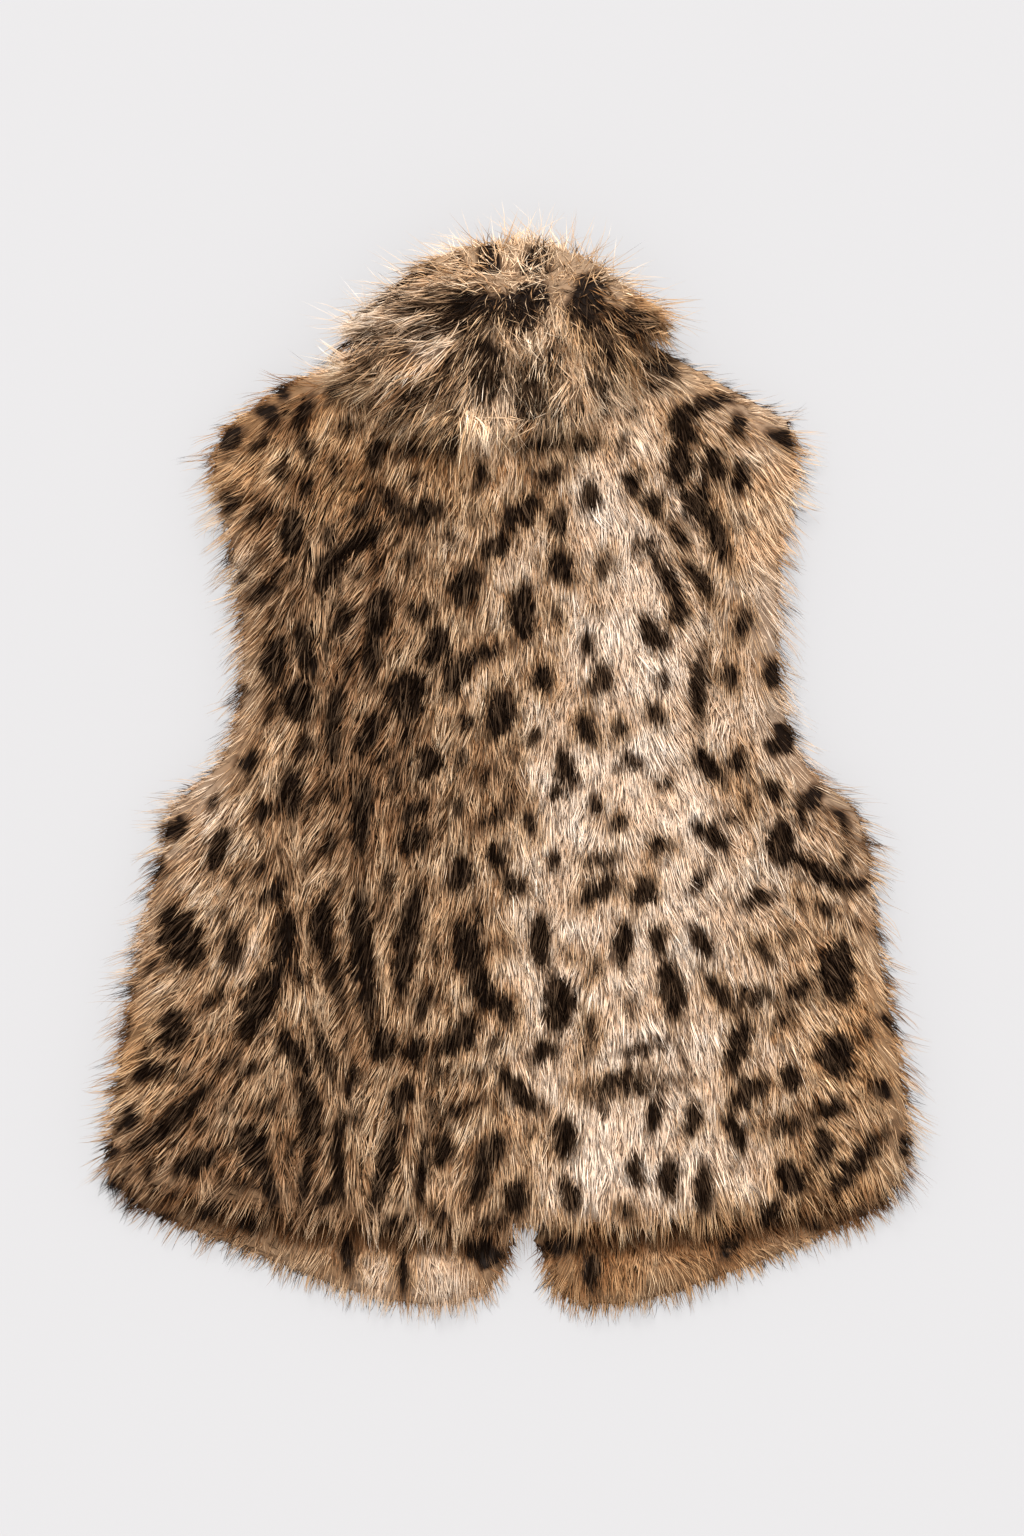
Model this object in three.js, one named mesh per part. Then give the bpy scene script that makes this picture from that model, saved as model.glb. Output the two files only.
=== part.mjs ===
// A hip-length faux fur vest with a turned-down fur collar, laid flat on its two fronts with the back up.
// Millimetres. +Z is up from the surface it lies on, +Y runs from the hem to the collar, +X is the wearer's right.
// Each cut piece is a wall of fur fabric, pile and backing together, and reaches as far as the dense pile does.
// The fronts lie pile down on the surface, the back lies on them, and the collar is folded along its roll line,
// with its fall lying on the back and its two front ends turned under.
import * as THREE from "three";

// Driving sizes
const FRONT_THICKNESS = 13; // pile pressed flat by the weight above it, and the backing
const BACK_THICKNESS = 22; // free pile and the backing
const COLLAR_STAND = 20; // pile on both faces, up to the roll line
const COLLAR_FALL = 18;
const STAND_SHARE = 0.49; // of the folded collar's depth, up to the slot between stand and fall
const FALL_SHARE = 0.53; // of that depth, where the fall starts
const LAYER_GAP = 0.4; // between pieces that lie on each other or meet at a seam
const HEM_HALF_WIDTH = 292; // of the back's hem
const BACK_HEM_Y = -336; // its lowest point, in the middle
const BACK_HEM_RISE = 36; // how far it curves up to the side seams
const NECK_HALF_WIDTH = 95; // from the middle to where the shoulder seam meets the neck
const NECK_POINT_Y = 319;
const BACK_NECK_DROP = 21;
const FRONT_NECK_DROP = 58;
const SHOULDER_SLOPE = 0.56; // fall of the shoulder line per millimetre outwards
const FRONT_INSET = 3; // the back's pile covers the edges of the fronts by this much
const OPENING_LEFT_X = 3; // the left front's free edge, at the middle opening
const OPENING_RIGHT_X = 21;

// Where the pile ends at each side of the vest, a row for each level from the shoulder tips down.
const SIDES = [
  { y: 249, left: -213, right: 206 },
  { y: 222, left: -223, right: 212 },
  { y: 194, left: -219, right: 208 },
  { y: 162, left: -211, right: 200 },
  { y: 124, left: -204, right: 199 },
  { y: 88, left: -202, right: 198 },
  { y: 50, left: -204, right: 202 },
  { y: 24, left: -209, right: 209 },
  { y: 5, left: -220, right: 218 },
  { y: -10, left: -237, right: 235 },
  { y: -25, left: -253, right: 254 },
  { y: -51, left: -259, right: 262 },
  { y: -85, left: -266, right: 267 },
  { y: -125, left: -275, right: 271 },
  { y: -170, left: -283, right: 279 },
  { y: -215, left: -291, right: 287 },
  { y: -255, left: -296, right: 292 },
  { y: -284, left: -298, right: 291 },
];
const HEM_CORNER_X = { left: -290, right: 284 };

// The hems of the two fronts, from the side seams to the rounded corners at the middle opening.
const FRONT_HEM = [
  { y: -316, left: -280, right: 273 },
  { y: -329, left: -256, right: 256 },
  { y: -343, left: -222, right: 223 },
  { y: -358, left: -183, right: 190 },
  { y: -373, left: -146, right: 148 },
  { y: -387, left: -103, right: 106 },
  { y: -393, left: -62, right: 70 },
  { y: -391, left: -36, right: 46 },
  { y: -382, left: -16, right: 29 },
  { y: -367, left: -3, right: 20 },
  { y: -346, left: OPENING_LEFT_X, right: OPENING_RIGHT_X - 1 },
];

// The back's largest soft folds. Each runs from one point to another and sinks or rises by lift at its middle.
const BACK_FOLDS = [
  { fromX: -158, fromY: 22, toX: -127, toY: -192, width: 15, lift: -7 },
  { fromX: -124, fromY: 205, toX: -119, toY: 50, width: 14, lift: -5 },
  { fromX: 132, fromY: 225, toX: 138, toY: 30, width: 15, lift: -5 },
  { fromX: -142, fromY: -205, toX: -154, toY: -326, width: 14, lift: -7 },
  { fromX: -112, fromY: -190, toX: -92, toY: -330, width: 14, lift: -6.5 },
  { fromX: -62, fromY: -205, toX: -48, toY: -332, width: 14, lift: -5 },
  { fromX: -222, fromY: -310, toX: -170, toY: -228, width: 15, lift: -5.5 },
  { fromX: 262, fromY: -240, toX: 214, toY: -318, width: 15, lift: -5.5 },
  { fromX: 176, fromY: -60, toX: 240, toY: -130, width: 17, lift: -4.5 },
  { fromX: 62, fromY: 150, toX: 84, toY: -300, width: 42, lift: 3.5 },
  { fromX: -32, fromY: 120, toX: -18, toY: -300, width: 30, lift: 2.5 },
  { fromX: -212, fromY: -60, toX: -232, toY: -250, width: 26, lift: 3.5 },
  { fromX: 196, fromY: -150, toX: 210, toY: -280, width: 30, lift: 3 },
  { fromX: -168, fromY: 210, toX: -164, toY: 60, width: 22, lift: 2.5 },
];

const backBase = FRONT_THICKNESS + LAYER_GAP;
const flatPoint = (x, y) => new THREE.Vector3(x, y, 0);
const smooth = (t) => THREE.MathUtils.smoothstep(t, 0, 1);

const pile = (color) => new THREE.MeshStandardMaterial({ color, roughness: 0.95, metalness: 0 });

// Height of the shoulder line over the piece's plan, and the neck's curve between the two neck points.
function topEdgeY(x, neckDrop) {
  const out = Math.abs(x);
  if (out >= NECK_HALF_WIDTH) return NECK_POINT_Y - (out - NECK_HALF_WIDTH) * SHOULDER_SLOPE;
  return NECK_POINT_Y - neckDrop * (1 - (out / NECK_HALF_WIDTH) ** 2);
}

const backHemY = (x) => BACK_HEM_Y + BACK_HEM_RISE * (Math.abs(x) / HEM_HALF_WIDTH) ** 2.2;

const hemCorner = (side) => flatPoint(HEM_CORNER_X[side], backHemY(HEM_CORNER_X[side]));

// A smooth curve through the points, as a function of the share of its length.
function curveThrough(points) {
  const curve = new THREE.CatmullRomCurve3(points, false, "centripetal");
  curve.arcLengthDivisions = 600;
  return (share) => curve.getPointAt(share);
}

// The plan position inside four edges. top and bottom run from left to right, left and right from top to bottom.
function insideEdges({ top, bottom, left, right }, u, v) {
  const along = top(u).multiplyScalar(1 - v).addScaledVector(bottom(u), v);
  const across = left(v).multiplyScalar(1 - u).addScaledVector(right(v), u);
  const corners = top(0).multiplyScalar((1 - u) * (1 - v));
  corners.addScaledVector(top(1), u * (1 - v));
  corners.addScaledVector(bottom(0), (1 - u) * v);
  corners.addScaledVector(bottom(1), u * v);
  return along.add(across).sub(corners);
}

// Shares from 0 to 1 that lie close together at both ends, where a panel's pile rolls over its edge.
function gridShares({ cells, length, startSteps, endSteps }) {
  const starts = startSteps.map((step) => step / length);
  const ends = endSteps.map((step) => 1 - step / length).reverse();
  const from = starts[starts.length - 1];
  const inner = Array.from({ length: cells - 1 }, (_, i) => from + ((ends[0] - from) * (i + 1)) / cells);
  return [0, ...starts, ...inner, ...ends, 1];
}

// Shortest distance from a plan point to a closed ring of plan points.
function distanceToRing(point, ring) {
  const segment = new THREE.Line3();
  const nearest = new THREE.Vector3();
  return ring.reduce((least, start, i) => {
    segment.set(start, ring[(i + 1) % ring.length]);
    return Math.min(least, segment.closestPointToPoint(point, true, nearest).distanceTo(point));
  }, Infinity);
}

// A closed mesh from corner points and triangles, with its faces turned outwards.
function closedMesh(name, material, points, triangles) {
  const volume = triangles.reduce((sum, [a, b, c]) => {
    const cross = new THREE.Vector3().crossVectors(points[b], points[c]);
    return sum + points[a].dot(cross);
  }, 0);
  const turned = volume < 0 ? triangles.map(([a, b, c]) => [a, c, b]) : triangles;
  const geometry = new THREE.BufferGeometry().setFromPoints(points);
  geometry.setIndex(turned.flat());
  geometry.computeVertexNormals();
  const mesh = new THREE.Mesh(geometry, material);
  mesh.name = name;
  return mesh;
}

// A panel of fur fabric lying flat: a flat underside set in from its edge, a rounded edge, and a top face whose
// height comes from heightAt(point, distance from the edge).
function furPanel({ name, material, edges, base, edgeRise, underInset, columns, rows, heightAt }) {
  const us = gridShares(columns);
  const vs = gridShares(rows);
  const plan = vs.map((v) => us.map((u) => insideEdges(edges, u, v)));
  const lastRow = vs.length - 1;
  const lastColumn = us.length - 1;
  const rimCells = [
    ...us.slice(0, -1).map((_, i) => [0, i]),
    ...vs.slice(0, -1).map((_, j) => [j, lastColumn]),
    ...us.slice(0, -1).map((_, i) => [lastRow, lastColumn - i]),
    ...vs.slice(0, -1).map((_, j) => [lastRow - j, 0]),
  ];
  const rim = rimCells.map(([row, column]) => plan[row][column]);
  const index = (row, column) => row * us.length + column;

  const points = plan.flat().map((point) => {
    const distance = distanceToRing(point, rim);
    return new THREE.Vector3(point.x, point.y, base + edgeRise + heightAt(point, distance));
  });
  const triangles = [];
  for (let row = 0; row < lastRow; row++) {
    for (let column = 0; column < lastColumn; column++) {
      const [a, b] = [index(row, column), index(row, column + 1)];
      const [d, c] = [index(row + 1, column), index(row + 1, column + 1)];
      triangles.push([a, b, c], [a, c, d]);
    }
  }

  // The underside: the rim moved in towards the middle of the panel, at the base height.
  const underStart = points.length;
  const inset = (share, length) => THREE.MathUtils.lerp(underInset / length, 1 - underInset / length, share);
  const under = rimCells.map(([row, column]) => {
    const point = insideEdges(edges, inset(us[column], columns.length), inset(vs[row], rows.length));
    return point.setZ(base);
  });
  points.push(...under);
  rimCells.forEach(([row, column], i) => {
    const [nextRow, nextColumn] = rimCells[(i + 1) % rim.length];
    const [a, b] = [index(row, column), index(nextRow, nextColumn)];
    const [c, d] = [underStart + i, underStart + ((i + 1) % rim.length)];
    triangles.push([a, c, b], [b, c, d]);
  });
  const flat = under.map((point) => new THREE.Vector2(point.x, point.y));
  for (const [a, b, c] of THREE.ShapeUtils.triangulateShape(flat, [])) {
    triangles.push([underStart + a, underStart + b, underStart + c]);
  }
  return closedMesh(name, material, points, triangles);
}

// How high the pile stands at a distance from the panel's edge, as a quarter circle.
function edgeRoll(distance, radius, height) {
  const share = Math.min(distance / radius, 1);
  return height * Math.sqrt(1 - (1 - share) ** 2);
}

function foldLift(point) {
  return BACK_FOLDS.reduce((sum, { fromX, fromY, toX, toY, width, lift }) => {
    const line = new THREE.Line3(flatPoint(fromX, fromY), flatPoint(toX, toY));
    const share = line.closestPointToPointParameter(point, true);
    const away = line.at(share, new THREE.Vector3()).distanceTo(point);
    const taper = 0.35 + 0.65 * Math.sin(Math.PI * share);
    return sum + lift * taper * Math.exp(-((away / width) ** 2));
  }, 0);
}

// The back: cut in one piece from the neck to the hem, with deep armholes and an A-line skirt.
function backPanel() {
  const edgeRise = 6;
  const edgeRadius = 22;
  const height = BACK_THICKNESS - edgeRise;
  const collarPress = 3;
  const rollSteps = [2, 7, 14];
  const leftTop = SIDES[0].left;
  const rightTop = SIDES[0].right;
  const steps = Array.from({ length: 41 }, (_, i) => i / 40);
  const topX = (u) => leftTop + (rightTop - leftTop) * u;
  const hemX = (u) => HEM_CORNER_X.left + (HEM_CORNER_X.right - HEM_CORNER_X.left) * u;
  const sideEdge = (side) => [...SIDES.map((row) => flatPoint(row[side], row.y)), hemCorner(side)];
  const edges = {
    top: curveThrough(steps.map((u) => flatPoint(topX(u), topEdgeY(topX(u), BACK_NECK_DROP)))),
    bottom: curveThrough(steps.map((u) => flatPoint(hemX(u), backHemY(hemX(u))))),
    left: curveThrough(sideEdge("left")),
    right: curveThrough(sideEdge("right")),
  };
  return furPanel({
    name: "back",
    material: pile(0xb58d69),
    edges,
    base: backBase,
    edgeRise,
    underInset: 5,
    columns: { cells: 30, length: 520, startSteps: rollSteps, endSteps: rollSteps },
    rows: { cells: 34, length: 620, startSteps: rollSteps, endSteps: rollSteps },
    heightAt: (point, distance) => {
      const free = smooth((distance - 6) / 26) * smooth((240 - point.y) / 30);
      const underCollar = smooth((point.y - 236) / 14) * smooth((122 - Math.abs(point.x)) / 10);
      const pressed = collarPress * underCollar * smooth(distance / 12);
      return edgeRoll(distance, edgeRadius, height) + foldLift(point) * free - pressed;
    },
  });
}

// A front: shoulder, armhole and side seam as the back's, a lower neck, a free edge at the opening, and a longer hem
// with a rounded corner. The hem's pile stands free below the back's hem, so it is thicker there.
function frontPanel(side) {
  const isLeft = side === "left";
  const outward = isLeft ? -1 : 1;
  const openingX = isLeft ? OPENING_LEFT_X : OPENING_RIGHT_X;
  const edgeRise = 4;
  const edgeRadius = 12;
  const height = FRONT_THICKNESS - edgeRise;
  const rollSteps = [1.5, 5, 11];
  const freeHemLift = 7;
  const freeHemStart = 13;
  const insetPoint = (x, y) => flatPoint(x - outward * FRONT_INSET, y);
  const neckInset = (x) => topEdgeY(x, FRONT_NECK_DROP) - FRONT_INSET;
  const tip = insetPoint(SIDES[0][side], 0).x;
  const steps = Array.from({ length: 25 }, (_, i) => i / 24);
  const neckX = (u) => tip + (openingX - tip) * u;
  const levels = SIDES.slice(1).map((row) => insetPoint(row[side], row.y));
  const corner = insetPoint(hemCorner(side).x, hemCorner(side).y);
  const hemEdge = [corner, ...FRONT_HEM.map((row) => flatPoint(row[side], row.y))];
  const openingEdge = [flatPoint(openingX, neckInset(openingX)), flatPoint(openingX, 0), hemEdge[hemEdge.length - 1]];
  const outer = curveThrough([flatPoint(tip, neckInset(tip)), ...levels, corner]);
  const opening = curveThrough(openingEdge);
  const neck = curveThrough(steps.map((u) => flatPoint(neckX(u), neckInset(neckX(u)))));
  const hem = curveThrough(hemEdge);
  const edges = isLeft
    ? { top: neck, bottom: hem, left: outer, right: opening }
    : { top: (u) => neck(1 - u), bottom: (u) => hem(1 - u), left: opening, right: outer };
  return furPanel({
    name: "front_" + side,
    material: pile(0xa9825f),
    edges,
    base: 0,
    edgeRise,
    underInset: 4,
    columns: { cells: 12, length: 260, startSteps: rollSteps, endSteps: rollSteps },
    rows: { cells: 26, length: 690, startSteps: rollSteps, endSteps: [...rollSteps, 20, 30, 40, 50, 60] },
    heightAt: (point, distance) => {
      const beyondHem = backHemY(point.x) - point.y;
      const free = smooth((beyondHem - freeHemStart) / 10) * smooth(distance / 12);
      return edgeRoll(distance, edgeRadius, height) + freeHemLift * free;
    },
  });
}

// One section across the folded collar, as heights up the strip and depths out from its inner face: the rounded edge
// of the fall, its outer face, the roll, the stand's inner face and its seam edge, and the slot between the layers.
function collarSection({ rollY, neckY, edgeY, depth }) {
  const standOut = depth * STAND_SHARE;
  const fallIn = depth * FALL_SHARE;
  const edgeThick = (depth - fallIn) * 0.72;
  const roll = depth / 2;
  const foldY = rollY - roll;
  const edgeReach = Math.min(edgeThick * 0.6, (foldY - edgeY) * 0.6);
  const outline = [-90, -45, 0, 45].map((degrees) => {
    const turn = THREE.MathUtils.degToRad(degrees);
    const out = fallIn + (edgeThick / 2) * (1 + Math.sin(turn));
    return [edgeY + edgeReach * (1 - Math.cos(turn)), out];
  });
  outline.push([THREE.MathUtils.lerp(edgeY, foldY, 0.28), fallIn + edgeThick + (depth - fallIn - edgeThick) * 0.5]);
  outline.push([THREE.MathUtils.lerp(edgeY, foldY, 0.62), depth - (depth - fallIn - edgeThick) * 0.12]);
  const rollPoints = 7;
  for (let i = 0; i <= rollPoints; i++) {
    const turn = Math.PI / 2 - (Math.PI * i) / rollPoints;
    outline.push([foldY + roll * Math.cos(turn), roll + roll * Math.sin(turn)]);
  }
  const corner = Math.min(3, (foldY - neckY) * 0.4, standOut * 0.3);
  outline.push([neckY + corner, 0], [neckY, corner], [neckY, standOut - corner], [neckY + corner, standOut]);
  outline.push([foldY, standOut], [foldY, fallIn]);
  return outline;
}

// A closed strip through sections that all have the same number of points, with a cap on each end.
function stripMesh(name, material, sections) {
  const count = sections[0].outline.length;
  const points = sections.flatMap(({ outline, place }) => outline.map(([y, out]) => place(y, out)));
  const triangles = [];
  for (let s = 0; s < sections.length - 1; s++) {
    for (let i = 0; i < count; i++) {
      const [a, b] = [s * count + i, s * count + ((i + 1) % count)];
      triangles.push([a, b, b + count], [a, b + count, a + count]);
    }
  }
  for (const s of [0, sections.length - 1]) {
    const flat = sections[s].outline.map(([y, out]) => new THREE.Vector2(y, out));
    const keepsOrder = THREE.ShapeUtils.isClockWise(flat) === (s === 0);
    for (const corners of THREE.ShapeUtils.triangulateShape(flat, [])) {
      const [a, b, c] = corners.map((corner) => s * count + corner);
      triangles.push(keepsOrder ? [a, b, c] : [a, c, b]);
    }
  }
  return closedMesh(name, material, points, triangles);
}

// The collar: one strip round the neck, folded along its roll line into a stand and a fall. Its middle lies on the
// back, and both ends turn under at the sides of the neck and lie on the surface above the fronts' neckline.
function collar() {
  const centreX = -2;
  const domeHalfWidth = 119;
  const domeBaseY = 298;
  const domeHeight = 88;
  const fallEdgeY = 243;
  const fallEdgeRise = 42;
  const turnX = { left: -96, right: 89 };
  const turnZ = FRONT_THICKNESS + 1.2;
  const turnRadius = 1;
  const turnRollDrop = 16;
  const backDepth = COLLAR_STAND + COLLAR_FALL + 0.8;
  const frontDepth = turnZ - turnRadius;
  const backStations = 22;
  const frontStations = 7;
  const turnDegrees = [0, 22, 45, 67, 90, 113, 135, 158, 180];

  const domeY = (x) => {
    const share = Math.min(Math.abs((x - centreX) / domeHalfWidth), 1);
    return domeBaseY + domeHeight * (1 - share ** 2) ** 0.68;
  };
  const fallY = (x) => fallEdgeY + fallEdgeRise * Math.abs((x - centreX) / (turnX.right - centreX)) ** 2.4;
  const backNeckY = (x) => topEdgeY(x, BACK_NECK_DROP) + LAYER_GAP + 0.3;
  const frontNeckY = (x) => topEdgeY(x, FRONT_NECK_DROP) + LAYER_GAP;

  const overBack = (x) => ({
    outline: collarSection({ rollY: domeY(x), neckY: backNeckY(x), edgeY: fallY(x), depth: backDepth }),
    place: (y, out) => new THREE.Vector3(x, y, turnZ + turnRadius + out),
  });
  const overFront = (x) => {
    const seamY = frontNeckY(x);
    return {
      outline: collarSection({ rollY: domeY(x) - turnRollDrop, neckY: seamY, edgeY: seamY, depth: frontDepth }),
      place: (y, out) => new THREE.Vector3(x, y, turnZ - turnRadius - out),
    };
  };
  const atTurn = (side, degrees) => {
    const x = turnX[side];
    const outward = Math.sign(x);
    const turn = THREE.MathUtils.degToRad(degrees);
    const depth = THREE.MathUtils.lerp(backDepth, frontDepth, smooth(degrees / 110));
    const seamY = backNeckY(NECK_HALF_WIDTH);
    const shoulderY = backNeckY(NECK_HALF_WIDTH + (turnRadius + depth * FALL_SHARE) * Math.sin(turn));
    const rollY = domeY(x) - turnRollDrop * smooth(degrees / 70);
    const edgeY = THREE.MathUtils.lerp(fallY(x), shoulderY, smooth(degrees / 50));
    return {
      outline: collarSection({ rollY, neckY: seamY, edgeY, depth }),
      place: (y, out) => {
        const reach = turnRadius + out;
        return new THREE.Vector3(x + outward * reach * Math.sin(turn), y, turnZ + reach * Math.cos(turn));
      },
    };
  };
  const between = (from, to, stations, make) =>
    Array.from({ length: stations - 1 }, (_, i) => make(THREE.MathUtils.lerp(from, to, (i + 1) / stations)));

  const sections = [
    overFront(OPENING_LEFT_X),
    ...between(OPENING_LEFT_X, turnX.left, frontStations, overFront),
    ...[...turnDegrees].reverse().map((degrees) => atTurn("left", degrees)),
    ...between(turnX.left, turnX.right, backStations, overBack),
    ...turnDegrees.map((degrees) => atTurn("right", degrees)),
    ...between(turnX.right, OPENING_RIGHT_X, frontStations, overFront),
    overFront(OPENING_RIGHT_X),
  ];
  return stripMesh("collar", pile(0xb08a68), sections);
}

const vest = new THREE.Group();
vest.name = "faux_fur_vest";
vest.add(backPanel(), frontPanel("left"), frontPanel("right"), collar());

// The origin is on the surface that the vest lies on, under the middle of its outline.
const middle = new THREE.Box3().setFromObject(vest).getCenter(new THREE.Vector3());
vest.position.set(-middle.x, -middle.y, 0);

export default vest;
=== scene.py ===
"""A spotted faux fur vest, laid flat on its fronts with its back up, seen from straight above."""

import math

import bmesh
import bpy
import numpy as np
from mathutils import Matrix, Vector, kdtree


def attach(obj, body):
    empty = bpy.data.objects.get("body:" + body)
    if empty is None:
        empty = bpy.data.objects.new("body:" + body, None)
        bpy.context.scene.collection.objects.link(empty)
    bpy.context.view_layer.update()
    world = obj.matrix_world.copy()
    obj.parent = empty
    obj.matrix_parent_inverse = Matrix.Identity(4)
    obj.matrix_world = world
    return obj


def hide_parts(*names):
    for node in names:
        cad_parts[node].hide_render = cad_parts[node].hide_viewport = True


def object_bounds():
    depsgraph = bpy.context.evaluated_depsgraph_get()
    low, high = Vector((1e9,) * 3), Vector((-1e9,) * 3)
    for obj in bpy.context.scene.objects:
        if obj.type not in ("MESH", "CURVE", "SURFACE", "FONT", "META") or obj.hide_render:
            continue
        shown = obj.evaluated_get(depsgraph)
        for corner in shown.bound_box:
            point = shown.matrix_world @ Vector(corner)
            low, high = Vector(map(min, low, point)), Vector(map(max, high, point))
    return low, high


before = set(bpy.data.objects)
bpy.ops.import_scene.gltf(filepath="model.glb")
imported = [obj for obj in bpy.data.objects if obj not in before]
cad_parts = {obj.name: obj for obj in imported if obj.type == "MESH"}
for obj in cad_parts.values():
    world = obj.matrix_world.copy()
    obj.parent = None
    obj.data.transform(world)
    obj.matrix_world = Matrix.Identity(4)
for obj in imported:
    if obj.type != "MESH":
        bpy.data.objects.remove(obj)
cad_low, cad_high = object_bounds()

# Camera, light and floor.
# The photograph looks straight down on a plain pale floor in soft even light, with the collar at the top.
# One of its pixels is 0.72 mm on the vest. Part of the floor's light is its own, so that the vest's
# shadow is faint.
PHOTO_PIXEL = 0.00072
PHOTO_HEIGHT = 1536 * PHOTO_PIXEL
PHOTO_PLANE_Z = 0.020
PHOTO_CENTRE = (0.0025, 0.0043)
LENS = 85.0
SENSOR = 36.0
camera = bpy.data.objects.new("camera", bpy.data.cameras.new("camera"))
camera.data.lens = LENS
camera.data.sensor_width = SENSOR
camera.data.clip_end = 50.0
camera.location = (*PHOTO_CENTRE, PHOTO_PLANE_Z + PHOTO_HEIGHT * LENS / SENSOR)
bpy.context.collection.objects.link(camera)
bpy.context.scene.camera = camera
bpy.context.scene.view_settings.view_transform = "Standard"

sky = bpy.data.worlds.new("studio")
bpy.context.scene.world = sky
sky.use_nodes = True
sky.node_tree.nodes["Background"].inputs["Color"].default_value = (1.0, 0.985, 0.97, 1.0)
sky.node_tree.nodes["Background"].inputs["Strength"].default_value = 1.40

softbox = bpy.data.objects.new("softbox", bpy.data.lights.new("softbox", "SUN"))
softbox.data.energy = 3.80
softbox.data.angle = math.radians(14.0)
softbox.data.color = (1.0, 0.985, 0.965)
softbox.rotation_euler = (math.radians(-38.0), math.radians(-9.0), 0.0)
bpy.context.collection.objects.link(softbox)

FLOOR_HALF = 6.0
floor_mesh = bpy.data.meshes.new("floor")
floor_form = bmesh.new()
bmesh.ops.create_grid(floor_form, x_segments=1, y_segments=1, size=FLOOR_HALF)
floor_form.to_mesh(floor_mesh)
floor_form.free()
floor = bpy.data.objects.new("floor", floor_mesh)
bpy.context.collection.objects.link(floor)
paper = bpy.data.materials.new("pale_paper")
paper.use_nodes = True
paper_surface = paper.node_tree.nodes["Principled BSDF"]
paper_surface.inputs["Base Color"].default_value = (0.150, 0.150, 0.155, 1.0)
paper_surface.inputs["Emission Color"].default_value = (1.0, 0.985, 0.99, 1.0)
paper_surface.inputs["Emission Strength"].default_value = 0.465
paper_surface.inputs["Roughness"].default_value = 0.9
floor_mesh.materials.append(paper)

# Back panel, backing.
# The knitted backing, cut in one piece from the neck to the hem. It is a closed slab with the panel's
# form and soft folds, sunk below the ends of the pile that is knitted into it.

# Whatever lies no more than this above the underside belongs to it.
BASE_REACH = 0.001


def sunk_slab(node, name, sink, lift, fine):
    """A copy of a panel's solid whose faces lie sink(point) inside it, whose flat underside is raised by
    lift, and whose longer edges are halved twice down to fine."""
    form = bmesh.new()
    form.from_mesh(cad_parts[node].data)
    bmesh.ops.remove_doubles(form, verts=form.verts, dist=1e-5)
    base = min(vert.co.z for vert in form.verts)
    raised = base + BASE_REACH
    for _ in range(2):
        coarse = [e for e in form.edges if e.calc_length() > fine and max(v.co.z for v in e.verts) > raised]
        bmesh.ops.subdivide_edges(form, edges=coarse, cuts=1)
        bmesh.ops.triangulate(form, faces=[face for face in form.faces if len(face.verts) > 3])
    form.normal_update()
    moves = {}
    for vert in form.verts:
        sides = [face.normal for face in vert.link_faces if abs(face.normal.z) < 0.95]
        if vert.co.z > raised:
            moves[vert] = -vert.normal * sink(vert.co)
        elif sides:
            outward = sum(sides, Vector()).to_2d().normalized().to_3d()
            moves[vert] = Vector((0.0, 0.0, lift)) - outward * sink(vert.co)
        else:
            moves[vert] = Vector((0.0, 0.0, lift))
    for vert, move in moves.items():
        vert.co += move
        vert.co.z = max(vert.co.z, base + lift)
    mesh = bpy.data.meshes.new(name)
    form.to_mesh(mesh)
    form.free()
    slab = bpy.data.objects.new(name, mesh)
    bpy.context.collection.objects.link(slab)
    mesh.polygons.foreach_set("use_smooth", [True] * len(mesh.polygons))
    return slab


def close_to(point, x, y, reach):
    """1 at a plan place, fading softly to 0 past reach."""
    return math.exp(-((point.x - x) ** 2 + (point.y - y) ** 2) / reach**2)


def back_sink(point):
    """9 mm, but less at the top of the left shoulder, which is fuller."""
    return 0.009 - 0.008 * close_to(point, -0.160, 0.278, 0.035)


back_backing = sunk_slab("back", "back_backing", back_sink, lift=0.0004, fine=0.011)

# Back panel, pile.
# Long soft synthetic hair over shorter underfur, in tufts, combed down from the neck and out towards the
# sides. The print is dyed into the pile, so each hair takes the colour of the place where it shows.

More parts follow.
